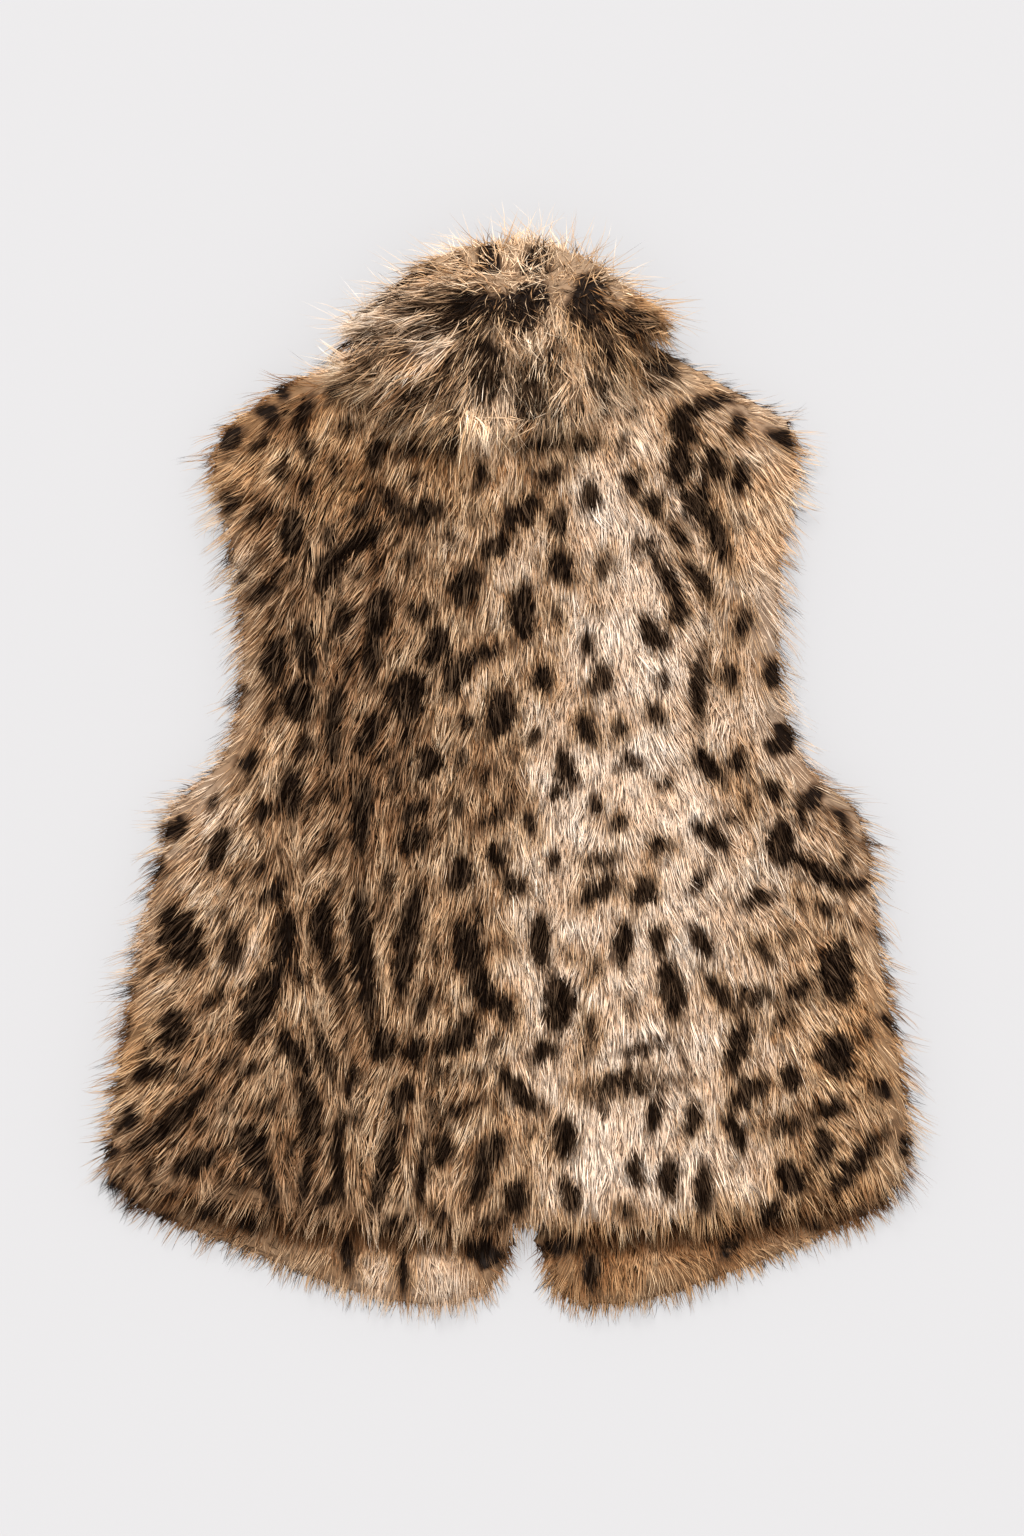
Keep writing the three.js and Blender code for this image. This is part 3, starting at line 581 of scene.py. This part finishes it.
def dyed_fur(name, is_backing):
    """Faux fur: cream to tawny hair with dark brown marks, painted shade towards the roots, and paler ends.
    """
    fur = bpy.data.materials.new(name)
    fur.use_nodes = True
    nodes, links = fur.node_tree.nodes, fur.node_tree.links
    surface = nodes["Principled BSDF"]
    dyes = nodes.new("ShaderNodeAttribute")
    dyes.attribute_name = "print"
    channels = nodes.new("ShaderNodeSeparateColor")
    links.new(dyes.outputs["Color"], channels.inputs["Color"])

    def mix(blend, share, first, second):
        node = nodes.new("ShaderNodeMix")
        node.data_type = "RGBA"
        node.blend_type = blend
        sockets = {"Factor": node.inputs[0], "A": node.inputs[6], "B": node.inputs[7]}
        for key, value in (("Factor", share), ("A", first), ("B", second)):
            if isinstance(value, bpy.types.NodeSocket):
                links.new(value, sockets[key])
            elif key == "Factor":
                sockets[key].default_value = value
            else:
                sockets[key].default_value = (*value, 1.0)
        return node.outputs[2]

    coords = nodes.new("ShaderNodeTexCoord")
    clouds = nodes.new("ShaderNodeTexNoise")
    clouds.inputs["Scale"].default_value = 34.0
    clouds.inputs["Detail"].default_value = 3.0
    links.new(coords.outputs["Object"], clouds.inputs["Vector"])
    cloud_range = nodes.new("ShaderNodeMapRange")
    cloud_range.inputs["From Min"].default_value = 0.36
    cloud_range.inputs["From Max"].default_value = 0.64
    links.new(clouds.outputs["Fac"], cloud_range.inputs["Value"])
    grounds = nodes.new("ShaderNodeValToRGB")
    grounds.color_ramp.elements[0].color = (*TAWNY, 1.0)
    grounds.color_ramp.elements[1].color = (*CREAM, 1.0)
    tan = grounds.color_ramp.elements.new(0.45)
    tan.color = (*TAN, 1.0)
    links.new(channels.outputs["Green"], grounds.inputs["Fac"])
    dulled = mix("MULTIPLY", 1.0, grounds.outputs["Color"], DULL)
    clouded = mix("MIX", cloud_range.outputs["Result"], dulled, grounds.outputs["Color"])
    ground = mix("MULTIPLY", dyes.outputs["Alpha"], clouded, GOLDEN_TINT)

    def across_edge(first, last, highest):
        node = nodes.new("ShaderNodeMapRange")
        node.interpolation_type = "SMOOTHSTEP"
        node.inputs["From Min"].default_value = 0.5 + 0.5 * first / PRINT_REACH
        node.inputs["From Max"].default_value = 0.5 + 0.5 * last / PRINT_REACH
        node.inputs["To Max"].default_value = highest
        links.new(channels.outputs["Red"], node.inputs["Value"])
        return node.outputs["Result"]

    # Hairs of higher tone in a mark are paler brown: partly their own colour, partly painted highlight.
    streaks = nodes.new("ShaderNodeMapRange")
    streaks.inputs["From Min"].default_value = 0.45
    streaks.inputs["From Max"].default_value = 0.95
    links.new(channels.outputs["Blue"], streaks.inputs["Value"])
    mark_hair = mix("MIX", streaks.outputs["Result"], DARKEST_MARK, PALE_MARK_HAIR_AND_HIGHLIGHT)
    rimmed = mix("MIX", across_edge(*MARK_RIM, 0.80), ground, RIM_BROWN)
    marked = mix("MIX", across_edge(*MARK_EDGE, 1.0), rimmed, mark_hair)
    tone_colour = nodes.new("ShaderNodeCombineColor")
    for channel, darkest, palest in (("Red", 0.48, 1.31), ("Green", 0.372, 1.435), ("Blue", 0.265, 1.555)):
        toned = nodes.new("ShaderNodeMapRange")
        toned.inputs["To Min"].default_value = darkest
        toned.inputs["To Max"].default_value = palest
        links.new(channels.outputs["Blue"], toned.inputs["Value"])
        links.new(toned.outputs["Result"], tone_colour.inputs[channel])
    shaded = mix("MULTIPLY", 1.0, marked, tone_colour.outputs["Color"])
    # A backing is darkened all over with painted shade, as it lies deep under the pile.
    if is_backing:
        finished = mix("MULTIPLY", 1.0, shaded, SHADE_UNDER_PILE)
    else:
        # Painted shade, darkest at each hair's root, and paler ends.
        along = nodes.new("ShaderNodeAttribute")
        along.attribute_name = "along"
        ends = nodes.new("ShaderNodeValToRGB")
        ends.color_ramp.elements[0].color = (*SHADE_AT_ROOT, 1.0)
        ends.color_ramp.elements[1].color = (*AT_END, 1.0)
        ends.color_ramp.elements[1].position = 0.9
        middle = ends.color_ramp.elements.new(0.42)
        middle.color = (*HALF_WAY, 1.0)
        links.new(along.outputs["Fac"], ends.inputs["Fac"])
        finished = mix("MULTIPLY", 1.0, shaded, ends.outputs["Color"])
    links.new(finished, surface.inputs["Base Color"])
    surface.inputs["Roughness"].default_value = 0.55
    surface.inputs["Specular IOR Level"].default_value = 0.05
    return fur


# The whole print, the same for every piece of the vest.
SEED = 2417
rng = np.random.default_rng(SEED)
marks = np.append(with_more_marks(MARKS, rng), STREAKS, axis=0)


def no_shade(points):
    return np.zeros(len(points))


# Darkness in the print where the darkest tufts of tawny pile begin to look smoky, and where no mark is.
SMOKY_FROM = 0.42
NO_MARK = 0.30

# How much of the print pale pile and pile at an outline lack, and how far each hair's print is off its
# place.
PALE_FADE = 0.022
OUTLINE_FADE = 0.12
SCATTER = 0.0006

# How far tones stand apart in tawny pile and how much less in the palest, and how unlike the hairs'
# paleness is.
TONE_SPREAD = 2.05
PALE_SPREAD_LOSS = 1.65
PALENESS_SPREAD = 0.08

# How much a mark nearby takes from the paleness, and what full painted shade adds to darkness or takes
# away.
RIM_LOSS = 0.40
SHADE_DARKNESS = 0.23
SHADE_PALE_LOSS = 0.6
SHADE_TONE_LOSS = 0.5


def dye(path, tone, inner, shade, carry, undyed, rng):
    """Darkness, paleness, tone and gold at each point of each hair. Single hairs carry the print a little
    up or down, hairs at the outline hold less of it, the darkest tufts of tawny pile are smoky, and shade
    says where painted shade makes the pile darker and browner."""
    count = len(path[0])
    heading = unit(path[-1] - path[0])
    carried = heading * rng.normal(0.0, carry, count)[:, None] + rng.normal(0.0, SCATTER, (count, 3))
    pale = guided(path[-1])[1]
    at_outline = np.clip(1.0 - 2.6 * inner, 0.0, 1.0)
    fade = np.abs(rng.normal(0.0, 1.0, count)) * (undyed + PALE_FADE * pale + OUTLINE_FADE * at_outline)
    tone = 0.5 + 0.06 * pale + (tone - 0.5) * (TONE_SPREAD - PALE_SPREAD_LOSS * pale)
    darkest = np.clip((0.16 - tone) / 0.1, 0.0, 1.0)
    smoky = SMOKY_FROM + 0.12 * darkest * np.clip((0.60 - pale) / 0.25, 0.0, 1.0)
    lowest = np.where(smoky > SMOKY_FROM + 0.001, smoky, NO_MARK)
    pale = pale + rng.normal(0.0, PALENESS_SPREAD, count)
    dyes = np.empty((count, len(path), 4), dtype=np.float32)
    for i, points in enumerate(path):
        dark, rim = printed(points + carried, marks)
        dark = np.maximum(dark - fade, lowest)
        dyes[:, i, 0] = np.maximum(dark, NO_MARK + SHADE_DARKNESS * shade(points))
        dyes[:, i, 1] = np.clip(pale - RIM_LOSS * rim - SHADE_PALE_LOSS * shade(points), 0.0, 1.0)
        dyes[:, i, 2] = np.clip(tone - SHADE_TONE_LOSS * shade(points), 0.0, 1.0)
        dyes[:, i, 3] = golden(points)
    return dyes


def dye_backing(slab):
    """Gives a backing the print of the pile that stands on it."""
    points = np.empty(len(slab.data.vertices) * 3)
    slab.data.vertices.foreach_get("co", points)
    dyed = np.empty((len(slab.data.vertices), 4), dtype=np.float32)
    points = points.reshape(-1, 3)
    dyed[:, 0] = printed(points, marks)[0]
    dyed[:, 1] = guided(points)[1]
    dyed[:, 2] = 0.5
    dyed[:, 3] = golden(points)
    colours = slab.data.attributes.new("print", "FLOAT_COLOR", "POINT")
    colours.data.foreach_set("color", dyed.reshape(-1))


# The pile, in metres, degrees and shares of a hair's length. tuft is how many hairs lean alike.
# edge_share is the length of the hairs at a panel's outline, full again from edge_reach inside it, and
# fringe how unlike they are. carry is how far a hair moves the print, undyed how much of it the hair
# lacks, and sag how far hairs of an outline hang down.
GUARD = {
    "length": 0.028, "width": 0.0009, "start_lift": 28.0, "end_lift": -4.0, "turn": 4.0, "curl": 5.0,
    "tuft": 4, "tuft_turn": 6.0, "tuft_lift": 4.0, "draw": 1.0, "length_spread": 0.10,
    "stray_share": 0.04, "edge_strays": 0.45, "stray_reach": 1.0,
    "mean_tone": 0.59, "tuft_tone": 0.13, "tone": 0.15, "carry": 0.0018, "undyed": 0.006,
    "edge_share": 0.35, "edge_reach": 0.028, "fringe": 1.8, "longest": 1.30, "sag": 0.003,
}
UNDER = {
    **GUARD,
    "length": 0.022, "width": 0.0012, "start_lift": 25.0, "end_lift": 0.0, "turn": 6.0, "curl": 6.0,
    "stray_share": 0.02, "edge_strays": 0.10, "mean_tone": 0.34, "tuft_tone": 0.14, "tone": 0.12,
    "edge_share": 0.50, "fringe": 0.35, "longest": 0.85, "sag": 0.026,
}
# Where along a hair it bends.
GUARD_JOINTS = (0.42, 0.72, 1.0)
UNDER_JOINTS = (0.42, 1.0)

# How much the pile turns outwards where a panel rolls over.
OUTWARD = 1.5


def combed(roots, normals):
    """The comb's direction at each root, and outwards where the panel rolls over. Two crossing waves, 60
    and 42 mm long, sway it a little."""
    x, y = roots[:, 0], roots[:, 1]
    comb = guided(roots)[0]
    comb = comb + 0.07 * np.sin(105.0 * x + 2.0 * np.sin(48.0 * y))
    comb = comb + 0.05 * np.sin(150.0 * y + 3.0 * np.sin(70.0 * x))
    flow = np.stack([np.sin(comb), -np.cos(comb), np.zeros(len(roots))], axis=1)
    outward = normals.copy()
    outward[:, 2] = 0.0
    return unit(flow + outward * OUTWARD)


def any_side(vert):
    return True


def edge_shares(slab, roots, shortest, reach, is_rim):
    """Each hair's share of its full length: shortest at the panel's outline, full from reach inside."""
    rim = [vert.co for vert in slab.data.vertices if abs(vert.normal.z) < 0.6 and is_rim(vert)]
    tree = kdtree.KDTree(len(rim))
    for i, place in enumerate(rim):
        tree.insert((place.x, place.y, 0.0), i)
    tree.balance()
    away = np.array([tree.find((x, y, 0.0))[2] for x, y, z in roots])
    return np.clip(shortest + (1.0 - shortest) * away / reach, shortest, 1.0)


def one_band(roots):
    return np.zeros(len(roots), dtype=int)


def full_length(roots):
    return np.ones(len(roots))


def grow(name, slab, material, counts, weight, comb, rng, bands=one_band, is_rim=any_side,
         shade=no_shade, trim=full_length, changes=()):
    """Grows guard hairs and underfur on a slab. bands says which of the pieces each hair belongs to,
    is_rim which parts of the outline have short pile, trim what else shortens it, and changes are sizes
    that differ from the usual ones."""
    kinds = (("guard", GUARD, GUARD_JOINTS, counts[0]), ("under", UNDER, UNDER_JOINTS, counts[1]))
    for kind, sizes, joints, count in kinds:
        roots, normals = root_places(slab, count, weight, rng)
        sizes = {**sizes, **dict(changes)}
        shares = edge_shares(slab, roots, sizes["edge_share"], sizes["edge_reach"], is_rim) * trim(roots)
        path, widths, tone = hair_paths(roots, normals, comb(roots, normals), shares, sizes, joints, rng)
        inner = (shares - sizes["edge_share"]) / (1.0 - sizes["edge_share"])
        dyes = dye(path, tone, inner, shade, sizes["carry"], sizes["undyed"], rng)
        band = bands(roots)
        for number in np.unique(band):
            keep = band == number
            label = f"{name}_{kind}_{number + 1}"
            hair = hair_mesh(label, [p[keep] for p in path], widths[keep], normals[keep], dyes[keep])
            hair.data.materials.append(material)
            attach(hair, "root")


back_fur = dyed_fur("back_fur", False)
back_ground = dyed_fur("back_backing", True)
dye_backing(back_backing)
back_backing.data.materials.append(back_ground)


def open_side(centres, normals):
    """Hair on a panel's top and edges, and none on its underside."""
    return np.where(normals[:, 2] > -0.2, 1.0, 0.0)


# The back's pile is three pieces, one below the other, that part at these y.
BACK_BANDS = (0.10, -0.12)
BACK_HAIRS = (27000, 53000)


def back_band(roots):
    return (roots[:, 1] < BACK_BANDS[0]).astype(int) + (roots[:, 1] < BACK_BANDS[1]).astype(int)


grow("back", back_backing, back_fur, BACK_HAIRS, open_side, combed, rng, back_band)
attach(back_backing, "root")
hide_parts("back")

# Fronts.
# Two panels of the same fur, lying pile down under the back and sewn to it at the shoulders and sides.
# Only their hems show from above, past the back's, where the pile fans out round the rounded corners at
# the middle opening.
front_fur = dyed_fur("front_fur", False)
front_ground = dyed_fur("front_backing", True)
HEM_Y = -0.330
HEM_RISE = 0.034
HEM_HALF_WIDTH = 0.29

# A front's pile shows up to SHOWN above the back's hem, and above COVERED it is half as long.
SHOWN = 0.028
COVERED = 0.03
COVERED_SHARE = 0.5
FRONT_NECK_Y = 0.30

# Shade under the back's hem is painted into the fronts' pile as darker, browner hair. It ends the first
# length below the back's hem after fading over the second, and the third is how strong it is.
SHADE_BELOW = 0.024
SHADE_FADE = 0.013
SHADE_STRENGTH = 0.88


def above_hem(places):
    """How far above the back's hem, which rises towards the sides, plan places lie."""
    return places[:, 1] - HEM_Y - HEM_RISE * np.abs(places[:, 0] / HEM_HALF_WIDTH) ** 2.2


def front_sink(point):
    return 0.0055


def past_the_back(centres, normals):
    """Most of the hair goes where a front shows: past the back's hem and along the outer edges."""
    shows = above_hem(centres) < SHOWN
    edge = (np.abs(normals[:, 2]) < 0.75) | (centres[:, 1] > FRONT_NECK_Y)
    return np.where(shows, np.where(normals[:, 2] > -0.3, 1.0, 0.05), np.where(edge, 1.5, 0.0))


def painted_shade_under_hem(places):
    """Painted shade, darker and browner, where the fronts come out from under the back's hem."""
    return SHADE_STRENGTH * np.clip((SHADE_BELOW + above_hem(places)) / SHADE_FADE, 0.0, 1.0)


def under_the_back(roots):
    """Shorter along the armholes and sides, where the back's pile hangs over it."""
    return np.where(above_hem(roots) > COVERED, COVERED_SHARE, 1.0)


FRONT_HAIRS = {"left": (3600, 8400), "right": (3500, 8100)}
FRONT_PILE = {"edge_share": 0.30, "longest": 0.85, "tone": 0.09, "tuft_tone": 0.12, "mean_tone": 0.49}

for side in ("left", "right"):
    backing = sunk_slab(f"front_{side}", f"front_{side}_backing", front_sink, lift=0.0006, fine=0.013)
    dye_backing(backing)
    backing.data.materials.append(front_ground)
    grow(f"front_{side}", backing, front_fur, FRONT_HAIRS[side], past_the_back, combed, rng,
         shade=painted_shade_under_hem, trim=under_the_back, changes=FRONT_PILE)
    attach(backing, "root")
    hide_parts(f"front_{side}")

# Collar.
# A folded strip of the same fur, sewn round the neck and turned down along its roll. Its pile is longer
# and brushed out from a crown near the middle of the roll, so it hides the neck seam and lies over the
# shoulders.
collar_fur = dyed_fur("collar_fur", False)
collar_ground = dyed_fur("collar_backing", True)


def collar_sink(point):
    """More where the roll stands high and along its top, and less at the left end, which is fuller."""
    left_end = close_to(point, -0.102, 0.298, 0.018)
    top = min(max((point.y - 0.330) / 0.030, 0.0), 1.0)
    left_top = close_to(point, -0.108, 0.332, 0.018)
    inside = 0.0015 + 0.0045 * min(max((point.z - 0.014) / 0.015, 0.0), 1.0)
    return inside + 0.005 * top + 0.008 * left_top - 0.018 * left_end


collar_backing = sunk_slab("collar", "collar_backing", collar_sink, lift=0.0006, fine=0.009)
dye_backing(collar_backing)
collar_backing.data.materials.append(collar_ground)

CROWN_LEFT = -0.002
CROWN_RIGHT = 0.046
CROWN_Y = 0.347
CROWN_LOOSENESS = 0.013
COLLAR_OUTWARD = 0.8


def brushed_out(roots, normals):
    """Direction away from the crown, a short line across the top of the roll."""
    away = np.zeros_like(roots)
    away[:, 0] = roots[:, 0] - np.clip(roots[:, 0], CROWN_LEFT, CROWN_RIGHT)
    away[:, 1] = roots[:, 1] - CROWN_Y
    away[:, 1] *= 1.0 - 0.5 * np.clip((CROWN_LEFT - roots[:, 0]) / 0.05, 0.0, 1.0)
    away[:, :2] += rng.normal(0.0, CROWN_LOOSENESS, (len(roots), 2))
    away /= np.linalg.norm(away, axis=1, keepdims=True) + 0.004
    away[:, 1] -= 0.12
    outward = normals.copy()
    outward[:, 2] = 0.0
    return unit(away + outward * COLLAR_OUTWARD)


def is_outline(vert):
    """Not the collar's lower edge and left end, whose pile runs out over the back."""
    return vert.normal.y > -0.3 and (vert.co.x > 0.0 or vert.co.y > 0.315)


def on_collar(centres, normals):
    """More hair on the upper part of the roll, and none underneath but at the top."""
    upper = centres[:, 2] > 0.030
    outer = np.where(upper, 1.0, 0.45)
    return np.where((normals[:, 2] > -0.5) | (centres[:, 1] > 0.325), outer, 0.0)


COLLAR_HAIRS = (4800, 9500)
COLLAR_PILE = {
    "length": 0.048, "width": 0.0011, "turn": 5.0, "curl": 11.0,
    "tuft": 14, "tuft_turn": 14.0, "tuft_lift": 8.0, "draw": 1.25, "length_spread": 0.24,
    "stray_share": 0.015, "edge_strays": 0.20, "stray_reach": 1.55,
    "mean_tone": 0.62, "tuft_tone": 0.30, "carry": 0.010, "undyed": 0.020,
    "edge_share": 0.20, "edge_reach": 0.032, "fringe": 0.8, "longest": 0.66, "sag": 0.0,
}
grow("collar", collar_backing, collar_fur, COLLAR_HAIRS, on_collar, brushed_out, rng,
     is_rim=is_outline, changes=COLLAR_PILE)
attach(collar_backing, "root")
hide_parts("collar")
